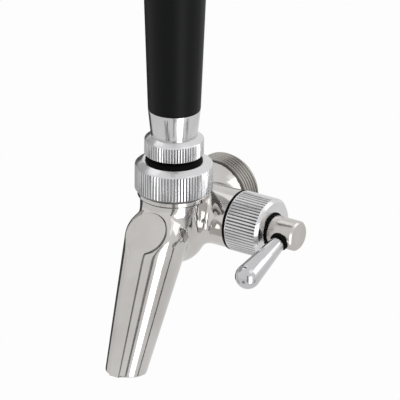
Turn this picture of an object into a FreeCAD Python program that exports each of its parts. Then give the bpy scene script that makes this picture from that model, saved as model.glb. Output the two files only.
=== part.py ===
import FreeCAD, Part
import Sketcher
import math
import os

from FreeCAD import Vector, Placement, Rotation

# Flow control faucet in the row's frame: +Z up, +Y back along the shank, +X towards the control stem.
# The origin is the centre of the shank coupling's rear face. Millimetres.

doc = FreeCAD.newDocument("FlowControlFaucet")
sheet = doc.addObject("Spreadsheet::Sheet", "Dims")

# Driving sizes. Heights are above the barrel's axis, depths are behind the neck's axis,
# and reaches are sideways from the neck's axis.
SIZES = {
    # body casting
    "neck_to_rear": 38.6,
    "neck_radius": 12.9,
    "flange_radius": 13.9,
    "flange_bottom": 10.9,
    "flange_top": 12.9,
    "neck_thread_radius": 11.6,
    "neck_top": 19.8,
    "neck_bore": 8.6,
    "neck_bore_floor": 9.0,
    "finger_bore": 6.2,
    "barrel_radius": 12.0,
    "barrel_end_depth": 27.4,
    "bell_start_depth": 25.4,
    "bell_cover": 1.4,
    "bell_radius": 13.4,
    "chamber_radius": 8.2,
    "chamber_front": 6.0,
    "shank_thread_radius": 14.29,
    "shank_thread_length": 9.4,
    "shank_recess_radius": 10.3,
    "shank_recess_depth": 1.4,
    "rear_tooth_count": 24,
    "rear_tooth_depth": 0.9,
    "rear_tooth_width": 0.8,
    "casting_blend": 1.0,
    "branch_blend": 2.0,
    "spout_blend": 3.0,
    "soft_corner": 15.0,
    "sharp_corner": 25.0,
    "web_radius": 11.2,
    "web_depth": 1.5,
    "web_drop": 5.8,
    # spout
    "spout_tilt": 23.4,
    "spout_forward": 10.2,
    "spout_length": 56.0,
    "spout_overrun": 3.6,
    "spout_top_radius": 12.5,
    "spout_end_radius": 7.5,
    "outlet_tilt": 6.0,
    "spout_bore": 6.0,
    "spout_bore_stop": 5.6,
    "elbow_radius": 5.2,
    "elbow_forward": 13.0,
    "elbow_drop": 3.2,
    # raised keyhole pad: a disc on the slanted nose, then a strip down the spout's front
    "pad_forward": 19.3,
    "pad_height": 1.5,
    "pad_tilt": 45.0,
    "pad_radius": 8.3,
    "pad_rise": 1.1,
    "pad_depth": 5.0,
    "strip_rise": 0.6,
    "strip_top_half": 3.2,
    "strip_end_half": 2.0,
    # front seat and its seal
    "seat_radius": 5.8,
    "seat_thickness": 3.0,
    "seat_bore": 4.2,
    "seat_bevel": 1.4,
    "seal_ring_radius": 4.4,
    "seal_ring_section": 0.8,
    "seal_squeeze_gap": 0.05,
    "carrier_radius": 5.9,
    "carrier_fin_radius": 8.1,
    "carrier_fin_width": 2.4,
    "carrier_rear": 4.2,
    "carrier_flat": 3.0,
    "carrier_nose_radius": 3.55,
    "carrier_flange_radius": 5.3,
    "carrier_flange_rear": 3.7,
    "retainer_radius": 3.95,
    "retainer_thickness": 0.75,
    "retainer_screw_radius": 2.0,
    "retainer_screw_length": 1.0,
    # lever and ball
    "ball_height": 17.0,
    "ball_radius": 7.4,
    "finger_tip_radius": 3.0,
    "finger_radius": 2.3,
    "finger_slot_floor": 3.5,
    "lever_radius": 3.3,
    "stud_radius": 4.75,
    "stud_bottom": 30.6,
    "stud_top": 60.0,
    "washer_top": 13.0,
    "washer_hole": 5.2,
    "ball_seal_radius": 7.8,
    "ball_seal_section": 0.7,
    "ball_seal_height": 14.6,
    "friction_ring_radius": 9.2,
    "friction_ring_top": 23.6,
    "friction_ring_hole": 5.3,
    # bonnet
    "bonnet_radius": 15.0,
    "bonnet_bottom": 13.1,
    "bonnet_top": 25.2,
    "bonnet_flute_top": 23.2,
    "bonnet_top_radius": 12.0,
    "bonnet_bottom_bevel": 0.8,
    "bonnet_recess_floor": 24.2,
    "bonnet_hole": 5.9,
    "bonnet_flutes": 77,
    "flute_depth": 0.45,
    "flute_half_width": 0.42,
    "dust_ring_radius": 10.9,
    "dust_ring_hole": 6.0,
    "dust_ring_shoulder": 25.9,
    "dust_ring_top": 27.0,
    "dust_ring_bevel": 1.0,
    # collar, ferrule and handle
    "collar_radius": 11.4,
    "collar_bottom": 27.9,
    "collar_top": 35.6,
    "collar_flute_top": 33.8,
    "collar_hollow": 14.4,
    "collar_flutes": 65,
    "collar_bottom_bevel": 0.4,
    "ferrule_bottom_radius": 8.9,
    "ferrule_top_radius": 10.1,
    "ferrule_top": 46.4,
    "insert_radius": 6.5,
    "insert_length": 19.6,
    "grip_top": 141.0,
    "grip_top_radius": 13.6,
    "grip_round": 11.5,
    "grip_bottom_bevel": 0.3,
    # side branch
    "branch_depth": 13.7,
    "branch_radius": 11.4,
    "branch_face": 21.2,
    "stem_bore": 5.95,
    "gland_radius": 8.3,
    "gland_floor": 15.5,
    "gasket_thickness": 0.6,
    "gasket_radius": 11.75,
    "gasket_hole": 8.6,
    "nut_radius": 11.8,
    "nut_end": 36.4,
    "nut_end_bevel": 1.2,
    "nut_flutes": 58,
    "nut_flute_start": 22.2,
    "nut_cavity": 6.9,
    "nut_wall": 5.0,
    "stem_radius": 5.84,
    "stem_inner_end": 10.0,
    "stem_end_bevel": 0.7,
    "stem_collar_radius": 6.6,
    "stem_collar_length": 1.4,
    "thrust_washer_thickness": 0.8,
    "stem_groove_radius": 4.45,
    "stem_groove_half": 0.85,
    "stem_ring_radius": 5.2,
    "stem_ring_section": 0.7,
    "inner_ring_reach": 12.9,
    "outer_ring_reach": 33.8,
    "wiper_radius": 6.65,
    "wiper_thickness": 0.6,
    "pin_radius": 1.5,
    "pin_offset": 2.6,
    "pin_tip": 2.6,
    "pin_seat": 2.0,
    # control lever
    "lever_stand_off": 5.75,
    "lever_to_stem_end": 5.35,
    "lever_droop": 16.3,
    "lever_stub_radius": 2.0,
    "lever_root_radius": 2.95,
    "lever_ball_radius": 4.9,
    "lever_ball_distance": 28.1,
    "lever_root_depth": 3.4,
    "lever_ring_radius": 3.65,
    "lever_ring_floor": 1.0,
    "lever_ring_proud": 0.5,
    # compensator
    "plug_front_wall": 1.2,
    "plug_radius": 6.4,
    "plug_cone_start": 18.5,
    "plug_cone_end": 33.0,
    "plug_tip_radius": 2.6,
    "plug_fin_radius": 8.1,
    "plug_fin_width": 2.0,
    "orifice_front": 27.0,
    "orifice_front_radius": 5.2,
    "orifice_cone_end": 35.4,
    "orifice_bore": 3.0,
    "shank_washer_hole": 6.0,
    # clearances
    "press_gap": 0.02,
    "running_gap": 0.05,
    "slot_gap": 0.15,
    "pin_slot_gap": 0.2,
    "free_gap": 0.1,
}

for row, (alias, number) in enumerate(SIZES.items(), 1):
    sheet.set("A%d" % row, alias.replace("_", " "))
    sheet.set("B%d" % row, str(number))
    sheet.setAlias("B%d" % row, alias)
doc.recompute()


def term(text):
    # One term is a number, a cell's alias, or an alias times or over a number.
    for mark in ("*", "/"):
        if mark in text:
            alias, factor = text.split(mark)
            factor = float(factor)
            base = float(getattr(sheet, alias))
            return base * factor if mark == "*" else base / factor
    if text in SIZES:
        return float(getattr(sheet, text))
    return float(text)


def value(text):
    # The number that a sum of terms stands for, such as "neck_top - free_gap".
    total, sign = 0.0, 1.0
    for word in str(text).split():
        if word in ("+", "-"):
            sign = 1.0 if word == "+" else -1.0
        else:
            total += sign * term(word)
            sign = 1.0
    return total


def formula(text):
    # The same sum, written for the spreadsheet.
    words = []
    for word in str(text).split():
        head = word.split("*")[0].split("/")[0]
        words.append("Dims." + word if head in SIZES else word)
    return " ".join(words)


NECK_DEPTH = "- neck_to_rear"
LEVER_REACH = "nut_end + wiper_thickness + lever_stand_off"
STEM_END = LEVER_REACH + " + lever_to_stem_end"
LEVER_TURN = 90.0 + value("lever_droop")
TURNS = {
    "up": Rotation(),
    "back": Rotation(Vector(1, 0, 0), -90),
    "side": Rotation(Vector(0, 1, 0), 90),
    "spout": Rotation(Vector(1, 0, 0), -value("spout_tilt")),
    "outlet": Rotation(Vector(1, 0, 0), -value("outlet_tilt")),
    "face": Rotation(Vector(1, 0, 0), value("pad_tilt")),
    "lever": Rotation(Vector(1, 0, 0), LEVER_TURN),
}


def place(obj, turn="up", x="0", y=NECK_DEPTH, z="0"):
    obj.Placement = Placement(Vector(value(x), value(y), value(z)), TURNS[turn])
    for axis, text in (("x", x), ("y", y), ("z", z)):
        if text != "0":
            obj.setExpression("Placement.Base." + axis, formula(text))
    return obj


def bind(obj, **sizes):
    for name, text in sizes.items():
        obj.setExpression(name, formula(text))
    return obj


def cylinder(name, radius, height, **where):
    obj = doc.addObject("Part::Cylinder", name)
    return place(bind(obj, Radius=radius, Height=height), **where)


def sphere(name, radius, **where):
    obj = doc.addObject("Part::Sphere", name)
    return place(bind(obj, Radius=radius), **where)


def cone(name, first, second, height, **where):
    obj = doc.addObject("Part::Cone", name)
    return place(bind(obj, Radius1=first, Radius2=second, Height=height), **where)


def block(name, length, width, height, **where):
    obj = doc.addObject("Part::Box", name)
    return place(bind(obj, Length=length, Width=width, Height=height), **where)


def fused(name, shapes, refine=True):
    obj = doc.addObject("Part::MultiFuse", name)
    obj.Shapes = shapes
    obj.Refine = refine
    return obj


def cut(name, base, tool):
    obj = doc.addObject("Part::Cut", name)
    obj.Base = base
    obj.Tool = tool
    return obj


def concaveEdges(shape, least):
    # Edges where two faces meet in an inside corner sharper than the least angle, in degrees.
    found = []
    for index, edge in enumerate(shape.Edges, 1):
        if edge.Degenerated:
            continue
        faces = shape.ancestorsOfType(edge, Part.Face)
        if len(faces) < 2:
            continue
        middle = (edge.FirstParameter + edge.LastParameter) / 2
        point = edge.valueAt(middle)
        normals = [face.normalAt(*face.Surface.parameter(point)) for face in faces[:2]]
        if math.degrees(normals[0].getAngle(normals[1])) < least:
            continue
        step = normals[0].cross(edge.tangentAt(middle)) * 0.05
        for sign in (1, -1):
            if faces[0].distToShape(Part.Vertex(point + step * sign))[0] < 0.01:
                break
        if normals[1].dot(step * sign) > 0:
            found.append(index)
    return found


def blended(name, base, radius, least, wall=None):
    # Rounds the inside corners. The wall is the room that the blend has, where that is limited.
    doc.recompute()
    obj = doc.addObject("Part::Fillet", name)
    obj.Base = base
    size = min(value(radius), value(wall or radius))
    obj.Edges = [(index, size, size) for index in concaveEdges(base.Shape, value(least))]
    doc.recompute()
    return obj


def body(name):
    return doc.addObject("PartDesign::Body", name)


def sketch(owner, role, name, lift="0"):
    obj = owner.newObject("Sketcher::SketchObject", name)
    plane = [item for item in owner.Origin.OriginFeatures if item.Role == role][0]
    obj.AttachmentSupport = [(plane, "")]
    obj.MapMode = "FlatFace"
    if lift != "0":
        obj.AttachmentOffset = Placement(Vector(0, 0, value(lift)), Rotation())
        obj.setExpression("AttachmentOffset.Base.z", formula(lift))
    return obj


def outline(drawing, points):
    # A closed outline whose corners are held by sheet sizes, across and up.
    corners = [Vector(value(across), value(up), 0) for across, up in points]
    count = len(corners)
    for number in range(count):
        drawing.addGeometry(Part.LineSegment(corners[number], corners[(number + 1) % count]), False)
    for number in range(count):
        drawing.addConstraint(
            Sketcher.Constraint("Coincident", number, 2, (number + 1) % count, 1)
        )
    for number, (across, up) in enumerate(points):
        for kind, text, axis in (("DistanceX", across, -2), ("DistanceY", up, -1)):
            if abs(value(text)) < 1e-9:
                drawing.addConstraint(Sketcher.Constraint("PointOnObject", number, 1, axis))
            else:
                index = drawing.addConstraint(
                    Sketcher.Constraint(kind, -1, 1, number, 1, value(text))
                )
                drawing.setExpression("Constraints[%d]" % index, formula(text))
    return drawing


def turned(name, points, **where):
    # A piece turned about its own axis from a radius and height profile.
    owner = body(name)
    drawing = outline(sketch(owner, "XZ_Plane", name + "_profile"), points)
    lathe = owner.newObject("PartDesign::Revolution", name + "_turn")
    lathe.Profile = drawing
    lathe.ReferenceAxis = (drawing, ["V_Axis"])
    lathe.Angle = 360
    owner.Tip = lathe
    place(owner, **where)
    doc.recompute()
    return owner


def ring(name, radius, section, **where):
    # An O-ring with an eight sided section, centred on its own origin.
    half = section + "*0.41421"
    around = [(section, half), (half, section), ("0 - " + half, section),
              ("0 - " + section, half), ("0 - " + section, "0 - " + half),
              ("0 - " + half, "0 - " + section), (half, "0 - " + section),
              (section, "0 - " + half)]
    points = [(radius + " + " + across if not across.startswith("0 -") else
               radius + across[1:], up) for across, up in around]
    return turned(name, points, **where)


def pocket(owner, name, drawing, length):
    tool = owner.newObject("PartDesign::Pocket", name)
    tool.Profile = drawing
    tool.Length = value(length)
    tool.setExpression("Length", formula(length))
    tool.Reversed = True
    owner.Tip = tool
    before = owner.Shape.Volume
    doc.recompute()
    if owner.Shape.Volume > before - 1e-3:
        raise RuntimeError(name + " cuts nothing")
    return tool


def repeated(owner, name, feature, drawing, count):
    pattern = owner.newObject("PartDesign::PolarPattern", name)
    pattern.Originals = [feature]
    pattern.Axis = (drawing, ["N_Axis"])
    pattern.Angle = 360
    pattern.Occurrences = int(value(count))
    pattern.setExpression("Occurrences", formula(count))
    owner.Tip = pattern
    doc.recompute()
    return pattern


def fluted(owner, name, radius, start, length, count):
    # Straight V flutes all round a turned piece.
    drawing = sketch(owner, "XY_Plane", name + "_groove", start)
    outline(
        drawing,
        [
            (radius + " - flute_depth", "0"),
            (radius + " + flute_depth", "flute_half_width*2"),
            (radius + " + flute_depth", "0 - flute_half_width*2"),
        ],
    )
    groove = pocket(owner, name + "_flute", drawing, length)
    return repeated(owner, name + "_flutes", groove, drawing, count)


# Casting: neck and spout in one blend, barrel and side branch in another, then joined.
neckColumn = cylinder("neck_column", "neck_radius", "flange_top - running_gap")
neckNose = sphere("neck_nose", "neck_radius")
SPOUT_Y = "- neck_to_rear - spout_forward"
spoutDome = sphere("spout_dome", "spout_top_radius", y=SPOUT_Y)
spoutCone = cone(
    "spout_cone", "spout_end_radius", "spout_top_radius", "spout_length + spout_overrun",
    turn="spout", y=SPOUT_Y
)
tilt = math.radians(value("spout_tilt"))
SPOUT_DOWN = Vector(0, -math.sin(tilt), -math.cos(tilt))
SPOUT_OUT = Vector(0, -math.cos(tilt), math.sin(tilt))
SPOUT_TOP = Vector(0, value(SPOUT_Y), 0)


def setAt(obj, point, turn):
    # Sets a piece at a point that the sheet's sizes give by an angle.
    for axis in "xyz":
        obj.setExpression("Placement.Base." + axis, None)
    obj.Placement = Placement(point, turn if isinstance(turn, Rotation) else TURNS[turn])
    return obj


def hangOnSpout(obj, along):
    # Sets a piece on the spout's axis, this far below the spout's top.
    return setAt(obj, SPOUT_TOP + SPOUT_DOWN * along, "spout")


def beyond(name, point, turn, side):
    # A block that fills one side of a slanted plane: above it for 1, below it for -1.
    tool = block(name, "spout_length", "spout_length", "spout_length")
    reach = value("spout_length")
    rotation = turn if isinstance(turn, Rotation) else TURNS[turn]
    corner = Vector(-reach / 2, -reach / 2, 0 if side > 0 else -reach)
    return setAt(tool, point + rotation.multVec(corner), rotation)


hangOnSpout(spoutCone, value("spout_length + spout_overrun"))
FACE_POINT = Vector(0, value("0 - neck_to_rear - pad_forward"), value("pad_height"))
FACE_OUT = TURNS["face"].multVec(Vector(0, 0, 1))
NECK_SHOULDER = Vector(0, value(NECK_DEPTH), value("flange_bottom"))
aboveSpout = fused("above_spout", [
    beyond("above_nose", FACE_POINT - FACE_OUT * value("pad_rise"), "face", 1),
    beyond("above_shoulder", NECK_SHOULDER, "up", 1),
])
spoutForm = cut("spout_form", fused("spout_blank", [spoutDome, spoutCone]), aboveSpout)
webBall = sphere("web_ball", "web_radius", y="- neck_to_rear + web_depth", z="0 - web_drop")
neckAndSpout = fused("neck_and_spout", [neckColumn, neckNose, spoutForm, webBall])
neckBlend = blended("neck_blend", neckAndSpout, "spout_blend", "soft_corner")

# The barrel runs on under the bell, and its blend with the branch ends before the barrel does.
barrelTube = cylinder("barrel_tube", "barrel_radius", "barrel_end_depth + bell_cover", turn="back")
branchTube = cylinder(
    "branch_tube", "branch_radius", "branch_face", turn="side", y="- neck_to_rear + branch_depth"
)
barrelAndBranch = fused("barrel_and_branch", [barrelTube, branchTube])
barrelBlend = blended(
    "barrel_blend", barrelAndBranch, "branch_blend", "sharp_corner",
    wall="barrel_end_depth + bell_cover - branch_depth - branch_radius - running_gap",
)

casting = fused("casting", [neckBlend, barrelBlend])
castingBlend = blended("casting_blended", casting, "casting_blend", "sharp_corner")

# Keyhole pad: a flat disc on the slanted nose and a tapering flat strip down the spout's front.
padDisc = setAt(
    cylinder("pad_disc", "pad_radius", "pad_depth"),
    FACE_POINT - FACE_OUT * value("pad_depth"), "face",
)
fullLength = value("spout_length + spout_overrun")
frontTop = SPOUT_TOP + SPOUT_OUT * value("spout_top_radius")
frontEnd = SPOUT_TOP + SPOUT_DOWN * fullLength + SPOUT_OUT * value("spout_end_radius")
frontWay = (frontEnd - frontTop).normalize()
STRIP_TURN = Rotation(Vector(1, 0, 0), Vector(), frontWay.cross(Vector(1, 0, 0)), "XZY")
padStrip = body("pad_strip")
stripSketch = outline(
    sketch(padStrip, "XY_Plane", "pad_strip_outline"),
    [
        ("0 - strip_top_half", "0"),
        ("strip_top_half", "0"),
        ("strip_end_half", "0 - spout_length - spout_overrun"),
        ("0 - strip_end_half", "0 - spout_length - spout_overrun"),
    ],
)
doc.recompute()
stripPad = padStrip.newObject("PartDesign::Pad", "strip_pad")
stripPad.Profile = stripSketch
bind(stripPad, Length="strip_rise + strip_top_half")
padStrip.Tip = stripPad
doc.recompute()
stripOut = STRIP_TURN.multVec(Vector(0, 0, 1))
setAt(padStrip, frontTop - stripOut * value("strip_top_half"), STRIP_TURN)
padForm = cut(
    "pad_form",
    fused("pad_blank", [padDisc, padStrip]),
    beyond("above_pad", FACE_POINT, "face", 1),
)

neckEnd = turned(
    "neck_end",
    [
        ("0", "flange_bottom"),
        ("flange_radius", "flange_bottom"),
        ("flange_radius", "flange_top"),
        ("neck_thread_radius", "flange_top"),
        ("neck_thread_radius", "neck_top"),
        ("0", "neck_top"),
    ],
)
shankEnd = turned(
    "shank_end",
    [
        ("0", "bell_start_depth"),
        ("barrel_radius", "bell_start_depth"),
        ("bell_radius", "neck_to_rear - shank_thread_length"),
        ("shank_thread_radius", "neck_to_rear - shank_thread_length"),
        ("shank_thread_radius", "neck_to_rear"),
        ("0", "neck_to_rear"),
    ],
    turn="back",
)
toothSketch = sketch(shankEnd, "XY_Plane", "rear_tooth", "neck_to_rear - rear_tooth_depth")
outline(
    toothSketch,
    [
        ("shank_recess_radius - free_gap", "0 - rear_tooth_width/2"),
        ("shank_thread_radius - rear_tooth_depth", "0 - rear_tooth_width/2"),
        ("shank_thread_radius - rear_tooth_depth", "rear_tooth_width/2"),
        ("shank_recess_radius - free_gap", "rear_tooth_width/2"),
    ],
)
rearTooth = pocket(shankEnd, "rear_tooth_gap", toothSketch, "rear_tooth_depth")
repeated(shankEnd, "rear_teeth", rearTooth, toothSketch, "rear_tooth_count")

solidCasting = fused("solid_casting", [castingBlend, padForm, neckEnd, shankEnd], False)
SPOUT_END = SPOUT_TOP + SPOUT_DOWN * value("spout_length")
trimmedCasting = cut(
    "trimmed_casting", solidCasting, beyond("below_outlet", SPOUT_END, "outlet", -1)
)

# Passages: seal chamber and shank bore, front elbow, spout, lever well and stem bore.
passages = [
    cylinder("seat_pocket", "seat_radius + press_gap", "seat_thickness", turn="back",
             y="- neck_to_rear - chamber_front - seat_thickness"),
    cylinder("chamber", "chamber_radius", "neck_to_rear + chamber_front - shank_recess_depth",
             turn="back", y="- neck_to_rear - chamber_front"),
    cylinder("shank_recess", "shank_recess_radius", "shank_recess_depth + free_gap",
             turn="back", y="- shank_recess_depth"),
    cylinder("front_passage", "seat_bore", "elbow_forward - chamber_front - seat_thickness",
             turn="back", y="- neck_to_rear - elbow_forward"),
    sphere("elbow", "elbow_radius", y="- neck_to_rear - elbow_forward", z="0 - elbow_drop"),
    hangOnSpout(cylinder("spout_passage", "spout_bore",
                         "spout_length + spout_overrun - spout_bore_stop"),
                value("spout_length + spout_overrun")),
    cylinder("finger_well", "finger_bore", "neck_bore_floor + free_gap"),
    cylinder("ball_well", "neck_bore", "neck_top - neck_bore_floor + free_gap",
             z="neck_bore_floor"),
    cylinder("stem_passage", "stem_bore", "gland_floor + free_gap", turn="side",
             y="- neck_to_rear + branch_depth"),
    cylinder("gland_pocket", "gland_radius", "branch_face - gland_floor + free_gap",
             turn="side", x="gland_floor", y="- neck_to_rear + branch_depth"),
]
faucetBody = cut("faucet_body", trimmedCasting, fused("passages", passages))

# Fixed inner pieces.
frontSeat = turned(
    "front_seat",
    [
        ("seat_bore", "0"),
        ("seat_radius", "0"),
        ("seat_radius", "seat_thickness"),
        ("seat_bore + seat_bevel", "seat_thickness"),
        ("seat_bore", "seat_thickness - seat_bevel"),
    ],
    turn="back",
    y="- neck_to_rear - chamber_front - seat_thickness",
)
shankWasher = turned(
    "shank_washer",
    [
        ("shank_washer_hole", "0"),
        ("shank_recess_radius - press_gap", "0"),
        ("shank_recess_radius - press_gap", "shank_recess_depth"),
        ("shank_washer_hole", "shank_recess_depth"),
    ],
    turn="back",
    y="- shank_recess_depth",
)
orificeSeat = turned(
    "orifice_seat",
    [
        ("orifice_front_radius", "orifice_front"),
        ("chamber_radius - press_gap", "orifice_front"),
        ("chamber_radius - press_gap", "neck_to_rear - shank_recess_depth"),
        ("orifice_bore", "neck_to_rear - shank_recess_depth"),
        ("orifice_bore", "orifice_cone_end"),
    ],
    turn="back",
)
washerBlank = turned(
    "ball_washer_blank",
    [
        ("washer_hole", "neck_bore_floor"),
        ("neck_bore - press_gap", "neck_bore_floor"),
        ("neck_bore - press_gap", "washer_top"),
        ("washer_hole", "washer_top"),
    ],
)
socket = sphere("ball_socket", "ball_radius + running_gap", z="ball_height")
ballWasher = cut("ball_washer", washerBlank, socket)
ballSeal = ring("ball_seal", "ball_seal_radius", "ball_seal_section", z="ball_seal_height")
frictionBlank = turned(
    "friction_ring_blank",
    [
        ("friction_ring_hole", "neck_top + free_gap"),
        ("friction_ring_radius", "neck_top + free_gap"),
        ("friction_ring_radius", "friction_ring_top"),
        ("friction_ring_hole", "friction_ring_top"),
    ],
)
frictionSocket = sphere("friction_socket", "ball_radius + running_gap", z="ball_height")
frictionRing = cut("friction_ring", frictionBlank, frictionSocket)

bonnet = turned(
    "bonnet",
    [
        ("neck_thread_radius + free_gap", "bonnet_bottom"),
        ("bonnet_radius - bonnet_bottom_bevel", "bonnet_bottom"),
        ("bonnet_radius", "bonnet_bottom + bonnet_bottom_bevel"),
        ("bonnet_radius", "bonnet_flute_top"),
        ("bonnet_top_radius", "bonnet_top"),
        ("dust_ring_radius + press_gap", "bonnet_top"),
        ("dust_ring_radius + press_gap", "bonnet_recess_floor"),
        ("bonnet_hole", "bonnet_recess_floor"),
        ("bonnet_hole", "friction_ring_top"),
        ("friction_ring_radius + press_gap", "friction_ring_top"),
        ("friction_ring_radius + press_gap", "neck_top + free_gap"),
        ("neck_thread_radius + free_gap", "neck_top + free_gap"),
    ],
)
fluted(bonnet, "bonnet", "bonnet_radius", "bonnet_bottom",
       "bonnet_flute_top - bonnet_bottom + flute_depth/2", "bonnet_flutes")
dustRing = turned(
    "dust_ring",
    [
        ("dust_ring_hole", "bonnet_recess_floor"),
        ("dust_ring_radius", "bonnet_recess_floor"),
        ("dust_ring_radius", "dust_ring_shoulder"),
        ("dust_ring_radius - dust_ring_bevel", "dust_ring_top"),
        ("dust_ring_hole", "dust_ring_top"),
    ],
)

# Lever, ball, collar and handle, which tilt together about the ball.
pivotBlank = sphere("pivot_ball_blank", "ball_radius", z="ball_height")
pivotHole = cylinder("pivot_hole", "lever_radius + press_gap", "ball_radius*2",
                     z="ball_height - ball_radius")
pivotBall = cut("pivot_ball", pivotBlank, pivotHole)
leverShaft = turned(
    "lever_shaft",
    [
        ("0", "0"),
        ("finger_radius", "0"),
        ("finger_radius", "ball_height - ball_radius"),
        ("lever_radius", "ball_height - ball_radius + 1"),
        ("lever_radius", "stud_bottom - 1"),
        ("stud_radius", "stud_bottom"),
        ("stud_radius", "stud_top - 1"),
        ("stud_radius - 1", "stud_top"),
        ("0", "stud_top"),
    ],
)
fingerTip = sphere("finger_tip", "finger_tip_radius")
leverRod = fused("lever_rod", [leverShaft, fingerTip])

collarBlank = turned(
    "collar_blank",
    [
        ("stud_radius + press_gap", "collar_bottom"),
        ("collar_radius - collar_bottom_bevel", "collar_bottom"),
        ("collar_radius", "collar_bottom + collar_bottom_bevel"),
        ("collar_radius", "collar_flute_top"),
        ("ferrule_bottom_radius", "collar_top"),
        ("stud_radius + press_gap", "collar_top"),
    ],
)
fluted(collarBlank, "collar", "collar_radius", "collar_bottom",
       "collar_flute_top - collar_bottom + flute_depth/2", "collar_flutes")
collarHollow = sphere("collar_hollow_ball", "collar_hollow", z="ball_height")
leverCollar = cut("lever_collar", collarBlank, collarHollow)
handleFerrule = turned(
    "handle_ferrule",
    [
        ("stud_radius + press_gap", "collar_top"),
        ("ferrule_bottom_radius", "collar_top"),
        ("ferrule_top_radius", "ferrule_top"),
        ("stud_radius + press_gap", "ferrule_top"),
    ],
)
handleInsert = turned(
    "handle_insert",
    [
        ("stud_radius + press_gap", "ferrule_top"),
        ("insert_radius", "ferrule_top"),
        ("insert_radius", "ferrule_top + insert_length"),
        ("stud_radius + press_gap", "ferrule_top + insert_length"),
    ],
)
handleGrip = turned(
    "handle_grip",
    [
        ("0", "ferrule_top + insert_length"),
        ("insert_radius + press_gap", "ferrule_top + insert_length"),
        ("insert_radius + press_gap", "ferrule_top"),
        ("ferrule_top_radius - grip_bottom_bevel", "ferrule_top"),
        ("ferrule_top_radius", "ferrule_top + grip_bottom_bevel"),
        ("grip_top_radius", "grip_top"),
        ("0", "grip_top"),
    ],
)
topEdge = [
    "Edge%d" % number
    for number, edge in enumerate(handleGrip.Shape.Edges, 1)
    if edge.Closed and abs(edge.CenterOfMass.z - value("grip_top")) < 1e-3
]
gripRound = handleGrip.newObject("PartDesign::Fillet", "grip_dome")
gripRound.Base = (handleGrip.Group[1], topEdge)
bind(gripRound, Radius="grip_round")
handleGrip.Tip = gripRound

# Seal carrier: rides in the chamber, pulled back off the front seat by the lever's finger.
# The seal ring rests on the seat's 45 degree bevel, so its depth follows the bevel.
SEAL_RING_DEPTH = "%.5f" % (
    value("chamber_front + seat_bevel + seat_bore - seal_ring_radius")
    - math.sqrt(2) * value("seal_ring_section + seal_squeeze_gap")
)
RING_FRONT = "0 - %s - seal_ring_section" % SEAL_RING_DEPTH
RING_REAR = "0 - %s + seal_ring_section" % SEAL_RING_DEPTH
carrierBlank = turned(
    "carrier_blank",
    [
        ("0", RING_FRONT),
        ("carrier_nose_radius", RING_FRONT),
        ("carrier_nose_radius", RING_REAR),
        ("carrier_flange_radius", RING_REAR),
        ("carrier_flange_radius", "0 - carrier_flange_rear"),
        ("carrier_radius", "0 - carrier_flange_rear"),
        ("carrier_radius", "carrier_rear"),
        ("0", "carrier_rear"),
    ],
    turn="back",
)
finSketch = sketch(carrierBlank, "XY_Plane", "carrier_fin", "0 - carrier_flange_rear")
outline(
    finSketch,
    [
        ("carrier_radius - 1", "0 - carrier_fin_width/2"),
        ("carrier_fin_radius - free_gap", "0 - carrier_fin_width/2"),
        ("carrier_fin_radius - free_gap", "carrier_fin_width/2"),
        ("carrier_radius - 1", "carrier_fin_width/2"),
    ],
)
finSketch.AttachmentOffset = Placement(
    finSketch.AttachmentOffset.Base, Rotation(Vector(0, 0, 1), 45)
)
carrierFin = carrierBlank.newObject("PartDesign::Pad", "carrier_fin_pad")
carrierFin.Profile = finSketch
bind(carrierFin, Length="carrier_rear + carrier_flange_rear")
carrierBlank.Tip = carrierFin
doc.recompute()
finPattern = carrierBlank.newObject("PartDesign::PolarPattern", "carrier_fins")
finPattern.Originals = [carrierFin]
finPattern.Axis = (finSketch, ["N_Axis"])
finPattern.Angle = 360
finPattern.Occurrences = 4
carrierBlank.Tip = finPattern
slotSides = block(
    "carrier_top",
    "finger_tip_radius*2 + slot_gap*2",
    "carrier_flange_rear + carrier_rear",
    "chamber_radius",
    x="0 - finger_tip_radius - slot_gap",
    y="- neck_to_rear - carrier_flange_rear",
    z="carrier_flat",
)
slotCore = block(
    "slot_core",
    "finger_tip_radius*2 + slot_gap*2",
    "finger_tip_radius*2 + slot_gap*2",
    "chamber_radius + finger_slot_floor",
    x="0 - finger_tip_radius - slot_gap",
    y="- neck_to_rear - finger_tip_radius - slot_gap",
    z="0 - finger_slot_floor",
)
sealCarrier = cut("seal_carrier", carrierBlank, fused("carrier_cuts", [slotCore, slotSides]))
frontSeal = ring("front_seal_ring", "seal_ring_radius", "seal_ring_section", turn="back",
                 y="- neck_to_rear - " + SEAL_RING_DEPTH)
sealRetainer = turned(
    "seal_retainer",
    [
        ("0", "0"),
        ("retainer_screw_radius - 0.5", "0"),
        ("retainer_screw_radius", "0.5"),
        ("retainer_screw_radius", "retainer_screw_length"),
        ("retainer_radius", "retainer_screw_length"),
        ("retainer_radius", "retainer_screw_length + retainer_thickness"),
        ("0", "retainer_screw_length + retainer_thickness"),
    ],
    turn="back",
    y="- neck_to_rear - %s - seal_ring_section - retainer_thickness - retainer_screw_length"
      % SEAL_RING_DEPTH,
)

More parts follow.
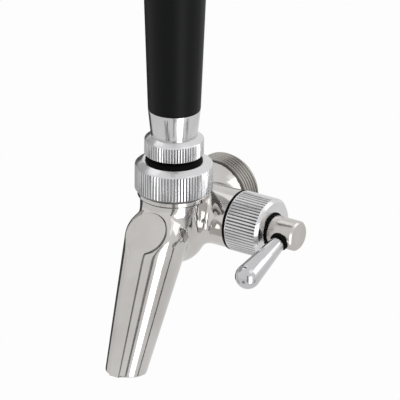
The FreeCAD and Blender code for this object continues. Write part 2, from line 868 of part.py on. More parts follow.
# Side branch: gasket, knurled nut, stem with its rings, washer and wiper.
BRANCH_Y = "- neck_to_rear + branch_depth"
nutGasket = turned(
    "nut_gasket",
    [
        ("gasket_hole", "branch_face"),
        ("gasket_radius", "branch_face"),
        ("gasket_radius", "branch_face + gasket_thickness"),
        ("gasket_hole", "branch_face + gasket_thickness"),
    ],
    turn="side",
    y=BRANCH_Y,
)
controlNut = turned(
    "control_nut",
    [
        ("nut_cavity", "gland_floor + free_gap"),
        ("gland_radius - press_gap", "gland_floor + free_gap"),
        ("gland_radius - press_gap", "branch_face + gasket_thickness"),
        ("nut_radius", "branch_face + gasket_thickness"),
        ("nut_radius", "nut_end - nut_end_bevel"),
        ("nut_radius - nut_end_bevel", "nut_end"),
        ("stem_bore", "nut_end"),
        ("stem_bore", "nut_end - nut_wall"),
        ("nut_cavity", "nut_end - nut_wall"),
    ],
    turn="side",
    y=BRANCH_Y,
)
fluted(controlNut, "nut", "nut_radius", "nut_flute_start",
       "nut_end - nut_end_bevel - nut_flute_start", "nut_flutes")
thrustWasher = turned(
    "stem_thrust_washer",
    [
        ("stem_bore", "nut_end - nut_wall - thrust_washer_thickness"),
        ("nut_cavity - press_gap", "nut_end - nut_wall - thrust_washer_thickness"),
        ("nut_cavity - press_gap", "nut_end - nut_wall"),
        ("stem_bore", "nut_end - nut_wall"),
    ],
    turn="side",
    y=BRANCH_Y,
)
stemWiper = turned(
    "stem_wiper",
    [
        ("stem_bore", "nut_end"),
        ("wiper_radius", "nut_end"),
        ("wiper_radius - wiper_thickness/2", "nut_end + wiper_thickness"),
        ("stem_bore", "nut_end + wiper_thickness"),
    ],
    turn="side",
    y=BRANCH_Y,
)
SHOULDER = "nut_end - nut_wall - thrust_washer_thickness - running_gap"
stemProfile = [("0", "stem_inner_end"), ("stem_radius", "stem_inner_end")]
for reach in ("inner_ring_reach",):
    stemProfile += [
        ("stem_radius", reach + " - stem_groove_half"),
        ("stem_groove_radius", reach + " - stem_groove_half"),
        ("stem_groove_radius", reach + " + stem_groove_half"),
        ("stem_radius", reach + " + stem_groove_half"),
    ]
stemProfile += [
    ("stem_radius", SHOULDER + " - stem_collar_length"),
    ("stem_collar_radius", SHOULDER + " - stem_collar_length"),
    ("stem_collar_radius", SHOULDER),
    ("stem_radius", SHOULDER),
    ("stem_radius", "outer_ring_reach - stem_groove_half"),
    ("stem_groove_radius", "outer_ring_reach - stem_groove_half"),
    ("stem_groove_radius", "outer_ring_reach + stem_groove_half"),
    ("stem_radius", "outer_ring_reach + stem_groove_half"),
    ("stem_radius", STEM_END + " - stem_end_bevel"),
    ("stem_radius - stem_end_bevel", STEM_END),
    ("0", STEM_END),
]
stemBlank = turned("stem_blank", stemProfile, turn="side", y=BRANCH_Y)
leverAxis = TURNS["lever"].multVec(Vector(0, 0, 1))
LEVER_POINT = Vector(value(LEVER_REACH), value(BRANCH_Y), 0)
leverHole = setAt(
    cylinder("lever_hole", "lever_stub_radius + press_gap", "stem_radius + lever_root_depth"),
    LEVER_POINT - leverAxis * value("lever_root_depth"), "lever",
)
leverSeat = setAt(
    cylinder("lever_ring_seat", "lever_ring_radius + press_gap", "stem_radius"),
    LEVER_POINT + leverAxis * value("stem_radius - lever_ring_floor"), "lever",
)
stemHoles = [
    cylinder("pin_hole", "pin_radius + press_gap", "pin_seat", turn="side", x="stem_inner_end",
             y=BRANCH_Y, z="pin_offset"),
    leverHole,
    leverSeat,
]
controlStem = cut("control_stem", stemBlank, fused("stem_holes", stemHoles))
innerRing = ring("stem_ring_inner", "stem_ring_radius", "stem_ring_section", turn="side",
                 x="inner_ring_reach", y=BRANCH_Y)
outerRing = ring("stem_ring_outer", "stem_ring_radius", "stem_ring_section", turn="side",
                 x="outer_ring_reach", y=BRANCH_Y)
eccentricPin = cylinder("eccentric_pin", "pin_radius", "stem_inner_end + pin_seat - pin_tip",
                        turn="side", x="pin_tip", y=BRANCH_Y, z="pin_offset")

LEVER_SHOULDER = "stem_radius + lever_ring_proud"
leverSlope = math.asin(
    (value("lever_ball_radius") - value("lever_root_radius"))
    / (value("lever_ball_distance") - value(LEVER_SHOULDER))
)
ballEdge = "lever_ball_distance - lever_ball_radius*%.5f" % math.sin(leverSlope)
leverBlank = turned(
    "control_lever_shaft",
    [
        ("0", "0 - lever_root_depth"),
        ("lever_stub_radius", "0 - lever_root_depth"),
        ("lever_stub_radius", LEVER_SHOULDER),
        ("lever_root_radius", LEVER_SHOULDER),
        ("lever_ball_radius*%.5f" % math.cos(leverSlope), ballEdge),
        ("0", ballEdge),
    ],
)
setAt(leverBlank, LEVER_POINT, "lever")
leverBall = setAt(
    sphere("control_lever_ball", "lever_ball_radius"),
    LEVER_POINT + leverAxis * value("lever_ball_distance"), "lever",
)
controlLever = fused("control_lever", [leverBlank, leverBall])
leverRing = turned(
    "lever_ring",
    [
        ("lever_stub_radius + press_gap", "stem_radius - lever_ring_floor"),
        ("lever_ring_radius", "stem_radius - lever_ring_floor"),
        ("lever_ring_radius", LEVER_SHOULDER + " - lever_ring_proud/2"),
        ("lever_ring_radius - lever_ring_proud/2", LEVER_SHOULDER),
        ("lever_stub_radius + press_gap", LEVER_SHOULDER),
    ],
)
setAt(leverRing, LEVER_POINT, "lever")

# Compensator plug: slides in the shank bore, moved by the stem's eccentric pin.
plugBlank = turned(
    "plug_blank",
    [
        ("0", "branch_depth - pin_radius - pin_slot_gap - plug_front_wall"),
        ("plug_radius", "branch_depth - pin_radius - pin_slot_gap - plug_front_wall"),
        ("plug_radius", "plug_cone_start"),
        ("plug_tip_radius", "plug_cone_end"),
        ("0", "plug_cone_end"),
    ],
    turn="back",
)
plugFinSketch = sketch(plugBlank, "XY_Plane", "plug_fin",
                       "branch_depth - pin_radius - pin_slot_gap - plug_front_wall")
outline(
    plugFinSketch,
    [
        ("plug_radius - 1", "0 - plug_fin_width/2"),
        ("plug_fin_radius - free_gap", "0 - plug_fin_width/2"),
        ("plug_fin_radius - free_gap", "plug_fin_width/2"),
        ("plug_radius - 1", "plug_fin_width/2"),
    ],
)
plugFinSketch.AttachmentOffset = Placement(
    plugFinSketch.AttachmentOffset.Base, Rotation(Vector(0, 0, 1), 45)
)
plugFin = plugBlank.newObject("PartDesign::Pad", "plug_fin_pad")
plugFin.Profile = plugFinSketch
bind(plugFin, Length="plug_cone_start - branch_depth + pin_radius + pin_slot_gap + plug_front_wall")
plugBlank.Tip = plugFin
doc.recompute()
plugFins = plugBlank.newObject("PartDesign::PolarPattern", "plug_fins")
plugFins.Originals = [plugFin]
plugFins.Axis = (plugFinSketch, ["N_Axis"])
plugFins.Angle = 360
plugFins.Occurrences = 4
plugBlank.Tip = plugFins
pinSlot = block(
    "pin_slot",
    "chamber_radius",
    "pin_radius*2 + pin_slot_gap*2",
    "chamber_radius*2",
    x="pin_tip - pin_slot_gap*2",
    y="- neck_to_rear + branch_depth - pin_radius - pin_slot_gap",
    z="0 - chamber_radius",
)
compensator = cut("compensator", plugBlank, pinSlot)

doc.recompute()

NODES = [
    "faucet_body", "front_seat", "orifice_seat", "shank_washer",
    "bonnet", "friction_ring", "dust_ring", "ball_washer", "ball_seal",
    "nut_gasket", "control_nut", "stem_thrust_washer", "stem_wiper",
    "lever_rod", "pivot_ball", "lever_collar", "handle_ferrule", "handle_insert", "handle_grip",
    "seal_carrier", "front_seal_ring", "seal_retainer",
    "control_stem", "stem_ring_inner", "stem_ring_outer", "eccentric_pin", "control_lever",
    "lever_ring", "compensator",
]

for item in doc.Objects:
    if "Invalid" in item.State or "Error" in item.State:
        raise RuntimeError("%s did not recompute: %s" % (item.Name, item.State))
for node in NODES:
    shape = doc.getObject(node).Shape
    if shape.isNull() or not shape.isValid() or len(shape.Solids) != 1:
        raise RuntimeError("%s is not one valid solid" % node)

os.makedirs("parts", exist_ok=True)
for node in NODES:
    doc.getObject(node).Label = node
    doc.getObject(node).Shape.exportStep("parts/%s.step" % node)
print("wrote %d pieces" % len(NODES))
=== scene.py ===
import math

import bpy
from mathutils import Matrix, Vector


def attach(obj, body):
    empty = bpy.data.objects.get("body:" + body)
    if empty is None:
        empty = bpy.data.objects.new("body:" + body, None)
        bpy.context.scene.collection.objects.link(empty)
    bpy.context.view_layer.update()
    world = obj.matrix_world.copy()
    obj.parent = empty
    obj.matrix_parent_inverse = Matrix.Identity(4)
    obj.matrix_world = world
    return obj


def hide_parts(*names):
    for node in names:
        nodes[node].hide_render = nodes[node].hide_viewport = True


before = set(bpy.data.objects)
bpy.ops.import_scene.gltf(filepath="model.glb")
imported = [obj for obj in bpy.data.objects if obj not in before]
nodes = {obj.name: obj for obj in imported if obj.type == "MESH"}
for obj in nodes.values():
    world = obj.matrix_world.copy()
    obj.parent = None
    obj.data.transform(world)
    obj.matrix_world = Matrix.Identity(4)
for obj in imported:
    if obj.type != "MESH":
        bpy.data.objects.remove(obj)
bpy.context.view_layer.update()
print("frame loaded:", len(nodes), "pieces")

scene = bpy.context.scene
scene.view_settings.view_transform = "Standard"
mm = 0.001
neck = Vector((0, -0.0386, 0))  # the foot of the neck's axis, on the barrel's axis
roundSegments = 128


# helpers for places, selecting and editing
def offset(base, x=0.0, y=0.0, z=0.0):
    # a place this many millimetres away from the base
    return base + Vector((x * mm, y * mm, z * mm))


def fade(distance, room):
    return max(0.0, min(1.0, distance / room))


def onlySelect(*objs):
    if bpy.context.object and bpy.context.object.mode != "OBJECT":
        bpy.ops.object.mode_set(mode="OBJECT")
    bpy.ops.object.select_all(action="DESELECT")
    for obj in objs:
        obj.select_set(True)
    bpy.context.view_layer.objects.active = objs[0]


def editAll(obj):
    # edit mode with the whole mesh selected
    onlySelect(obj)
    bpy.ops.object.mode_set(mode="EDIT")
    bpy.ops.mesh.select_all(action="SELECT")


def leaveEdit():
    bpy.ops.object.mode_set(mode="OBJECT")


def applyAll(obj):
    onlySelect(obj)
    for modifier in list(obj.modifiers):
        bpy.ops.object.modifier_apply(modifier=modifier.name)


def settle(obj, name):
    # the place, turn and size go into the mesh
    onlySelect(obj)
    bpy.ops.object.transform_apply(location=True, rotation=True, scale=True)
    obj.name = name
    return obj


def smoothBy(obj, degrees):
    onlySelect(obj)
    bpy.ops.object.shade_smooth_by_angle(angle=math.radians(degrees))


def joined(name, parts):
    onlySelect(*parts)
    bpy.ops.object.join()
    made = bpy.context.object
    made.name = name
    return made


def cleaned(obj, gap):
    # doubles merged and faces turned outwards
    editAll(obj)
    bpy.ops.mesh.remove_doubles(threshold=gap)
    bpy.ops.mesh.normals_make_consistent(inside=False)
    leaveEdit()
    return obj


def sliced(obj, point, outward):
    # what lies beyond a plane is cut away and the cut closed
    editAll(obj)
    bpy.ops.mesh.bisect(plane_co=point, plane_no=outward, use_fill=True, clear_outer=True)
    leaveEdit()
    return obj


def remeshed(obj, voxel):
    remesh = obj.modifiers.new("melt", "REMESH")
    remesh.mode = "VOXEL"
    remesh.voxel_size = voxel * mm
    applyAll(obj)


def bored(obj, cutter):
    bore = obj.modifiers.new("bore", "BOOLEAN")
    bore.operation = "DIFFERENCE"
    bore.solver = "MANIFOLD"
    bore.object = cutter
    applyAll(obj)
    bpy.data.objects.remove(cutter)


# helpers for round forms, all radii in millimetres
def rod(name, radius, start, end, endRadius=None, segments=roundSegments):
    # a straight cylinder or cone from one point to the other
    way = end - start
    bpy.ops.mesh.primitive_cone_add(
        vertices=segments, radius1=radius * mm, radius2=(endRadius or radius) * mm,
        depth=way.length, location=(start + end) / 2,
        rotation=way.to_track_quat("Z", "Y").to_euler())
    return settle(bpy.context.object, name)


def ball(name, radius, centre):
    bpy.ops.mesh.primitive_uv_sphere_add(
        segments=roundSegments, ring_count=roundSegments // 2, radius=radius * mm,
        location=centre)
    return settle(bpy.context.object, name)


ringGap = 0.000001  # metres within which a ring's points merge
ringAxes = {
    # axis: how the flat circle is turned, and the way along the axis
    "x": ((0, math.pi / 2, 0), Vector((1, 0, 0))),
    "y": ((-math.pi / 2, 0, 0), Vector((0, 1, 0))),
    "z": ((0, 0, 0), Vector((0, 0, 1))),
}


def turnRing(name, profile, segments, axis, centre):
    # a closed ring: one circle, extruded and resized from corner to corner of the profile
    turn, along = ringAxes[axis]
    profile = [(radius * mm, height * mm) for radius, height in profile]
    bpy.ops.mesh.primitive_circle_add(
        vertices=segments, radius=profile[0][0], location=centre + along * profile[0][1],
        rotation=turn)
    ring = settle(bpy.context.object, name)
    editAll(ring)
    for (oldRadius, oldHeight), (radius, height) in zip(profile, profile[1:] + profile[:1]):
        bpy.ops.mesh.extrude_edges_move(
            TRANSFORM_OT_translate={"value": along * (height - oldHeight)})
        scale = [radius / oldRadius] * 3
        scale["xyz".index(axis)] = 1.0
        bpy.ops.transform.resize(value=scale, center_override=centre + along * height)
    return cleaned(ring, ringGap)


# helpers for materials, all on object coordinates
grainSet = {
    # the part of the noise in use, its detail, the broad grain, and how deep the bumps go
    "low": 0.3, "high": 0.7, "detail": 3.0, "broadScale": 70, "broadDetail": 2.0,
    "metalBump": 0.00004, "softBump": 0.00006,
}


def startMaterial(name, colour, metallic, roughness):
    material = bpy.data.materials.new(name)
    material.use_nodes = True
    tree = material.node_tree
    shader = tree.nodes["Principled BSDF"]
    shader.inputs["Base Color"].default_value = (*colour, 1)
    shader.inputs["Metallic"].default_value = metallic
    shader.inputs["Roughness"].default_value = roughness
    return material, tree, shader


def objectPlace(tree):
    return tree.nodes.new("ShaderNodeTexCoord").outputs["Object"]


def grain(tree, place, scale, stretch, detail):
    # noise, drawn out along the axes that have small stretch numbers
    mapping = tree.nodes.new("ShaderNodeMapping")
    mapping.inputs["Scale"].default_value = stretch
    tree.links.new(place, mapping.inputs["Vector"])
    noise = tree.nodes.new("ShaderNodeTexNoise")
    noise.inputs["Scale"].default_value = scale
    noise.inputs["Detail"].default_value = detail
    tree.links.new(mapping.outputs["Vector"], noise.inputs["Vector"])
    return noise.outputs["Fac"]


def ranged(tree, source, fromLow, fromHigh, toLow, toHigh):
    # one range brought onto another
    remap = tree.nodes.new("ShaderNodeMapRange")
    remap.inputs["From Min"].default_value = fromLow
    remap.inputs["From Max"].default_value = fromHigh
    remap.inputs["To Min"].default_value = toLow
    remap.inputs["To Max"].default_value = toHigh
    tree.links.new(source, remap.inputs["Value"])
    return remap.outputs["Result"]


def mathNode(tree, operation, first, second):
    # a math node on a socket and on a second socket or a number
    node = tree.nodes.new("ShaderNodeMath")
    node.operation = operation
    tree.links.new(first, node.inputs[0])
    if isinstance(second, float):
        node.inputs[1].default_value = second
    else:
        tree.links.new(second, node.inputs[1])
    return node.outputs[0]


def vectorNode(tree, operation, source, constant=None):
    node = tree.nodes.new("ShaderNodeVectorMath")
    node.operation = operation
    tree.links.new(source, node.inputs[0])
    if constant is not None:
        node.inputs[1].default_value = constant
    return node


def mixInto(tree, outputName, share, first, second):
    # two shaders mixed by a share, and the mix led into the output node
    mix = tree.nodes.new("ShaderNodeMixShader")
    tree.links.new(share, mix.inputs["Fac"])
    tree.links.new(first.outputs[0], mix.inputs[1])
    tree.links.new(second.outputs[0], mix.inputs[2])
    tree.links.new(mix.outputs[0], tree.nodes[outputName].inputs["Surface"])


def roughen(tree, shader, source, smooth, rough):
    result = ranged(tree, source, grainSet["low"], grainSet["high"], smooth, rough)
    tree.links.new(result, shader.inputs["Roughness"])


def tint(tree, shader, source, dark, light):
    ramp = tree.nodes.new("ShaderNodeValToRGB")
    ramp.color_ramp.elements[0].position = grainSet["low"]
    ramp.color_ramp.elements[0].color = (*dark, 1)
    ramp.color_ramp.elements[1].position = grainSet["high"]
    ramp.color_ramp.elements[1].color = (*light, 1)
    tree.links.new(source, ramp.inputs["Fac"])
    tree.links.new(ramp.outputs["Color"], shader.inputs["Base Color"])


def bump(tree, shader, source, strength, distance):
    node = tree.nodes.new("ShaderNodeBump")
    node.inputs["Strength"].default_value = strength
    node.inputs["Distance"].default_value = distance
    tree.links.new(source, node.inputs["Height"])
    tree.links.new(node.outputs["Normal"], shader.inputs["Normal"])


metalLooks = {
    # dark and light colour, least and most roughness, grain scale, stretch, bump strength
    "stainlessPolished": (
        (0.55, 0.53, 0.51), (0.63, 0.61, 0.59), 0.06, 0.13, 420, (1, 1, 1), 0.03),
    "stainlessBrushed": (
        (0.44, 0.415, 0.39), (0.56, 0.535, 0.51), 0.22, 0.34, 1100, (1, 0.04, 1), 0.2),
    "stemTurned": (
        (0.52, 0.495, 0.47), (0.62, 0.595, 0.57), 0.20, 0.28, 1200, (1, 0.05, 0.05), 0.06),
    "padBrushed": (
        (0.57, 0.55, 0.525), (0.65, 0.63, 0.605), 0.30, 0.42, 1800, (1, 0.10, 0.10), 0.12),
    # stepShade: a dark colour that paints shade at steps and walls
    "stepShade": (
        (0.10, 0.095, 0.09), (0.17, 0.165, 0.16), 0.25, 0.38, 900, (1, 1, 1), 0.05),
    "knurlSatin": (
        (0.64, 0.64, 0.65), (0.74, 0.74, 0.75), 0.16, 0.27, 1300, (1, 1, 0.3), 0.08),
    "chromeMirror": (
        (0.55, 0.55, 0.56), (0.63, 0.63, 0.64), 0.05, 0.10, 260, (1, 1, 1), 0.015),
    "ferruleTurned": (
        (0.58, 0.58, 0.585), (0.68, 0.68, 0.685), 0.13, 0.24, 1500, (0.08, 0.08, 1), 0.08),
    "brassTurned": (
        (0.62, 0.44, 0.18), (0.78, 0.58, 0.28), 0.2, 0.3, 900, (0.1, 0.1, 1), 0.1),
}
grooveLooks = {
    # metal look, axis, centre, radius of groove floor and of crest, where the grooves end and
    # over what length they do, painted shade at the groove floor; lengths in millimetres
    "bonnetFlutes": ("knurlSatin", "z", (0, -38.6, 0), 14.62, 14.98, 23.15, 0.1, 0.30),
    "collarFlutes": ("knurlSatin", "z", (0, -38.6, 0), 11.02, 11.38, 33.75, 0.1, 0.34),
    "nutFlutes": ("knurlSatin", "x", (0, -24.9, 0), 11.42, 11.78, 34.95, 0.1, 0.22),
    "threadCrests": ("stainlessBrushed", "y", (0, 0, 0), 13.5, 14.2, -1.1, 0.1, 0.16),
}
softLooks = {
    # dark and light colour, least and most roughness, grain scale, bump strength, shine
    "blackRubber": (
        (0.0015, 0.0015, 0.0015), (0.004, 0.004, 0.004), 0.5, 0.7, 900, 0.2, 0.06),
    "gripSatin": (
        (0.002, 0.0022, 0.0022), (0.004, 0.0043, 0.0045), 0.42, 0.52, 1600, 0.05, 0.15),
    "acetalWhite": ((0.78, 0.78, 0.76), (0.86, 0.86, 0.84), 0.4, 0.5, 900, 0.05, 0.5),
    "acetalBlack": ((0.03, 0.03, 0.03), (0.05, 0.05, 0.05), 0.4, 0.5, 900, 0.05, 0.5),
}


def metal(name, look):
    dark, light, smooth, rough, scale, stretch, height = metalLooks[look]
    material, tree, shader = startMaterial(name, light, 1.0, rough)
    place = objectPlace(tree)
    fine = grain(tree, place, scale, stretch, grainSet["detail"])
    broad = grain(tree, place, grainSet["broadScale"], (1, 1, 1), grainSet["broadDetail"])
    tint(tree, shader, broad, dark, light)
    roughen(tree, shader, fine, smooth, rough)
    bump(tree, shader, fine, height, grainSet["metalBump"])
    return material


def paintedGrooveShade(name):
    # a metal with painted shade in its grooves: its colour darkens with depth below the crests
    look, axis, centre, floorRadius, crest, grooveEnd, endFade, shade = grooveLooks[name]
    material = metal(name, look)
    tree = material.node_tree
    shader = tree.nodes["Principled BSDF"]
    place = objectPlace(tree)
    shift = vectorNode(tree, "SUBTRACT", place, [value * mm for value in centre])
    across = [0.0 if letter == axis else 1.0 for letter in "xyz"]
    flat = vectorNode(tree, "MULTIPLY", shift.outputs[0], across)
    length = vectorNode(tree, "LENGTH", flat.outputs[0])
    # painted shade: the colour gets darker towards the groove floor, in place of the shade there
    depth = ranged(tree, length.outputs["Value"], floorRadius * mm, crest * mm, shade, 1.0)
    split = tree.nodes.new("ShaderNodeSeparateXYZ")
    tree.links.new(place, split.inputs[0])
    past = ranged(tree, split.outputs[axis.upper()], grooveEnd * mm,
                  (grooveEnd + endFade) * mm, 0.0, 1.0)
    colour = shader.inputs["Base Color"].links[0].from_socket
    tone = vectorNode(tree, "SCALE", colour)
    tree.links.new(mathNode(tree, "MAXIMUM", depth, past), tone.inputs["Scale"])
    tree.links.new(tone.outputs[0], shader.inputs["Base Color"])
    return material


def soft(name):
    dark, light, smooth, rough, scale, height, shine = softLooks[name]
    material, tree, shader = startMaterial(name, light, 0.0, rough)
    shader.inputs["Specular IOR Level"].default_value = shine
    fine = grain(tree, objectPlace(tree), scale, (1, 1, 1), grainSet["detail"])
    tint(tree, shader, fine, dark, light)
    roughen(tree, shader, fine, smooth, rough)
    bump(tree, shader, fine, height, grainSet["softBump"])
    return material


materials = {look: metal(look, look) for look in metalLooks}
materials.update({look: paintedGrooveShade(look) for look in grooveLooks})
materials.update({look: soft(look) for look in softLooks})
print("materials made:", len(materials))


def finish(obj, materialName, body):
    obj.data.materials.clear()
    obj.data.materials.append(materials[materialName])
    for polygon in obj.data.polygons:
        polygon.material_index = 0
    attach(obj, body)


nodeLooks = {
    "stainlessPolished": ["faucet_body", "front_seat", "pivot_ball", "seal_retainer",
                          "eccentric_pin"],
    "stainlessBrushed": ["lever_rod"],
    "stemTurned": ["control_stem"],
    "knurlSatin": ["bonnet", "lever_collar", "control_nut"],
    "ferruleTurned": ["handle_ferrule"],
    "chromeMirror": ["control_lever"],
    "brassTurned": ["handle_insert"],
    "blackRubber": ["shank_washer", "dust_ring", "ball_seal", "nut_gasket", "stem_wiper",
                    "front_seal_ring", "stem_ring_inner", "stem_ring_outer", "lever_ring"],
    "gripSatin": ["handle_grip"],
    "acetalWhite": ["orifice_seat", "friction_ring", "ball_washer", "stem_thrust_washer"],
    "acetalBlack": ["seal_carrier", "compensator"],
}
for look, names in nodeLooks.items():
    for nodeName in names:
        node = nodes[nodeName]
        if not node.material_slots:
            node.data.materials.append(materials[look])
        for slot in node.material_slots:
            slot.material = materials[look]
print("CAD pieces coated")

# casting: round forms joined and melted into one skin, trued up, then bored
castingSet = {
    # lengths and radii in millimetres from the neck's foot, tilts in degrees
    "neckRadius": 12.9, "neckTop": 11.5, "barrelRadius": 12.0, "barrelEnd": 25.6,
    "bellStart": 23.4, "bellEnd": 29.2, "bellRadius": 13.5,
    "branchBack": 13.7, "branchRadius": 11.4, "branchFace": 21.2,
    "webRadius": 11.6, "webBack": 1.5, "webDrop": 5.9,
    "spoutForward": 10.2, "spoutTilt": 23.4, "spoutLength": 56.0, "overrun": 3.6,
    "spoutTop": 12.5, "spoutEnd": 7.5, "domeDrop": 4.0, "outletTilt": 6.0,
    "spoutBore": 6.0, "boreStop": 5.6, "borePast": 4.0,
    # melting: voxel size, rounds of smoothing, and where each end stays sharp
    "voxel": 0.5, "meltRounds": 150, "easeRounds": 30, "factor": 0.5,
    "neckKept": 0.6, "neckFade": 3.0, "branchKept": 0.6, "branchFade": 2.5,
    "bellKept": 0.4, "bellFade": 2.0, "outletKept": 0.8, "outletFade": 3.0, "leastMelt": 0.03,
    # truing up: where the skin comes back to the exact spout and branch
    "trueSpout": 19.0, "trueSpoutFade": 9.0, "trueOutlet": 0.7, "trueOutletFade": 0.6,
    "trueBranch": 15.5, "trueBranchFade": 3.0, "trueFace": 0.5, "trueFaceFade": 0.5,
    "trueReach": 30.0, "trueSegments": 512, "smooth": 50,
}
passageSet = {
    # the room inside, in millimetres from the neck's foot or the branch's axis
    "chamberRadius": 8.2, "chamberFront": 6.0, "chamberBack": 40.0,
    "seatRadius": 5.82, "seatFront": 9.0, "frontRadius": 4.2, "frontReach": 13.0,
    "elbowRadius": 5.2, "elbowDrop": 3.2, "fingerRadius": 6.2, "fingerTop": 9.1,
    "ballWellRadius": 8.6, "ballWellFoot": 9.0, "ballWellTop": 20.0,
    "stemRadius": 5.95, "stemReach": 15.6,
    "glandRadius": 8.3, "glandFoot": 15.5, "glandTop": 22.0, "voxel": 0.45,
}
padSet = {
    # the disc on the slanted nose
    "forward": 19.3, "height": 1.5, "tilt": 45.0, "radius": 8.3, "rise": 1.1,
    # the strip down the spout: height, half widths, bend and how disc and strip merge
    "stripRise": 0.6, "endSink": 0.25, "topHalf": 3.2, "endHalf": 2.05, "bend": 12.0,
    "corner": 5.0, "leastHalf": 0.02,
    # the grid's rows, closer together over the disc
    "rows": 220, "columns": 24, "rowBend": 0.42, "rowPower": 1.9, "rowEven": 0.58,
    "spare": 1.5, "mergeGap": 0.00001,
    # the rim: soft edge, hollow at the foot and the tuck below the skin, with their turns
    "wall": 0.12, "edge": 0.13, "edgeTurns": (30, 60, 90),
    "hollow": 0.32, "hollowTurns": (0, 20, 40, 65, 90), "leastWall": 0.05,
    "tuckOut": 0.25, "tuckDown": 0.2, "evenRounds": 6, "probeUp": 2.0, "probeReach": 8.0,
    # where the strip's sides start and its lower end lies, in disc radii from the centre
    "sidesFrom": 1.3, "endFrom": 2.0, "endAside": 0.5, "steepShare": 0.93, "smooth": 45,
}
spoutTurn = math.radians(castingSet["spoutTilt"])
spoutDown = Vector((0, -math.sin(spoutTurn), -math.cos(spoutTurn)))
spoutOut = Vector((0, -math.cos(spoutTurn), math.sin(spoutTurn)))
spoutFull = castingSet["spoutLength"] + castingSet["overrun"]
spoutTopAt = offset(neck, y=-castingSet["spoutForward"])
spoutFullEnd = spoutTopAt + spoutDown * spoutFull * mm
outletAt = spoutTopAt + spoutDown * castingSet["spoutLength"] * mm
outletTurn = math.radians(castingSet["outletTilt"])
outletOut = Vector((0, -math.sin(outletTurn), -math.cos(outletTurn)))
branchAt = offset(neck, y=castingSet["branchBack"])
faceTurn = math.radians(padSet["tilt"])
faceOut = Vector((0, -math.sin(faceTurn), math.cos(faceTurn)))
faceDown = Vector((0, -math.cos(faceTurn), -math.sin(faceTurn)))
facePoint = offset(neck, y=-padSet["forward"], z=padSet["height"])


def castingForms():
    # the round forms that the casting is melted from
    c = castingSet
    noseCut = facePoint - faceOut * padSet["rise"] * mm
    domeAt = spoutTopAt + spoutDown * c["domeDrop"] * mm
    domeRadius = c["spoutTop"] - (c["spoutTop"] - c["spoutEnd"]) * c["domeDrop"] / spoutFull
    return [
        ball("nose", c["neckRadius"], neck),
        rod("column", c["neckRadius"], neck, offset(neck, z=c["neckTop"])),
        sliced(ball("dome", domeRadius, domeAt), noseCut, faceOut),
        sliced(sliced(rod("spout", c["spoutEnd"], spoutFullEnd, domeAt, domeRadius),
                      noseCut, faceOut), outletAt, outletOut),
        ball("web", c["webRadius"], offset(neck, y=c["webBack"], z=-c["webDrop"])),
        rod("barrel", c["barrelRadius"], neck, offset(neck, y=c["barrelEnd"])),
        rod("bell", c["barrelRadius"], offset(neck, y=c["bellStart"]),
            offset(neck, y=c["bellEnd"]), c["bellRadius"]),
        rod("branch", c["branchRadius"], branchAt, offset(branchAt, x=c["branchFace"])),
    ]


def weighSkin(skin):
    # how much each point melts, and how firmly it comes back to the exact forms
    c = castingSet
    melt = skin.vertex_groups.new(name="melt")
    trueUp = skin.vertex_groups.new(name="trueUp")
    for vert in skin.data.vertices:
        place = (vert.co - neck) / mm
        alongSpout = (vert.co - spoutTopAt).dot(spoutDown) / mm
        toOutlet = (outletAt - vert.co).dot(outletOut) / mm
        melt.add([vert.index], min(
            fade(c["neckTop"] - c["neckKept"] - place.z, c["neckFade"]),
            fade(c["branchFace"] - c["branchKept"] - place.x, c["branchFade"]),
            fade(c["bellEnd"] - c["bellKept"] - place.y, c["bellFade"]),
            c["leastMelt"] + fade(toOutlet - c["outletKept"], c["outletFade"]),
        ), "REPLACE")
        onSpout = (fade(alongSpout - c["trueSpout"], c["trueSpoutFade"])
                   * fade(toOutlet - c["trueOutlet"], c["trueOutletFade"]))
        onBranch = (fade(place.x - c["trueBranch"], c["trueBranchFade"])
                    * fade(c["branchFace"] - c["trueFace"] - place.x, c["trueFaceFade"]))
        trueUp.add([vert.index], max(onSpout, onBranch), "REPLACE")


def smoothStep(obj, name, rounds):
    step = obj.modifiers.new(name, "SMOOTH")
    step.factor = castingSet["factor"]
    step.iterations = rounds
    step.vertex_group = "melt"


def meltSkin(skin):
    # the inside corners stay full, and the outside ones come back to their forms
    c = castingSet
    remeshed(skin, c["voxel"])
    hardSkin = skin.copy()
    hardSkin.data = skin.data.copy()
    scene.collection.objects.link(hardSkin)
    weighSkin(skin)
    smoothStep(skin, "soften", c["meltRounds"])
    trueForms = joined("true_forms", [
        rod("spoutForm", c["spoutEnd"], spoutFullEnd, spoutTopAt, c["spoutTop"],
            c["trueSegments"]),
        rod("branchForm", c["branchRadius"], branchAt, offset(branchAt, x=c["trueReach"]),
            None, c["trueSegments"]),
    ])
    regain = skin.modifiers.new("regain", "SHRINKWRAP")
    regain.target = hardSkin
    regain.wrap_method = "NEAREST_SURFACEPOINT"
    regain.wrap_mode = "OUTSIDE"
    smoothStep(skin, "ease", c["easeRounds"])
    hug = skin.modifiers.new("hug", "SHRINKWRAP")
    hug.target = trueForms
    hug.wrap_method = "NEAREST_SURFACEPOINT"
    hug.vertex_group = "trueUp"
    applyAll(skin)
    bpy.data.objects.remove(trueForms)
    bpy.data.objects.remove(hardSkin)


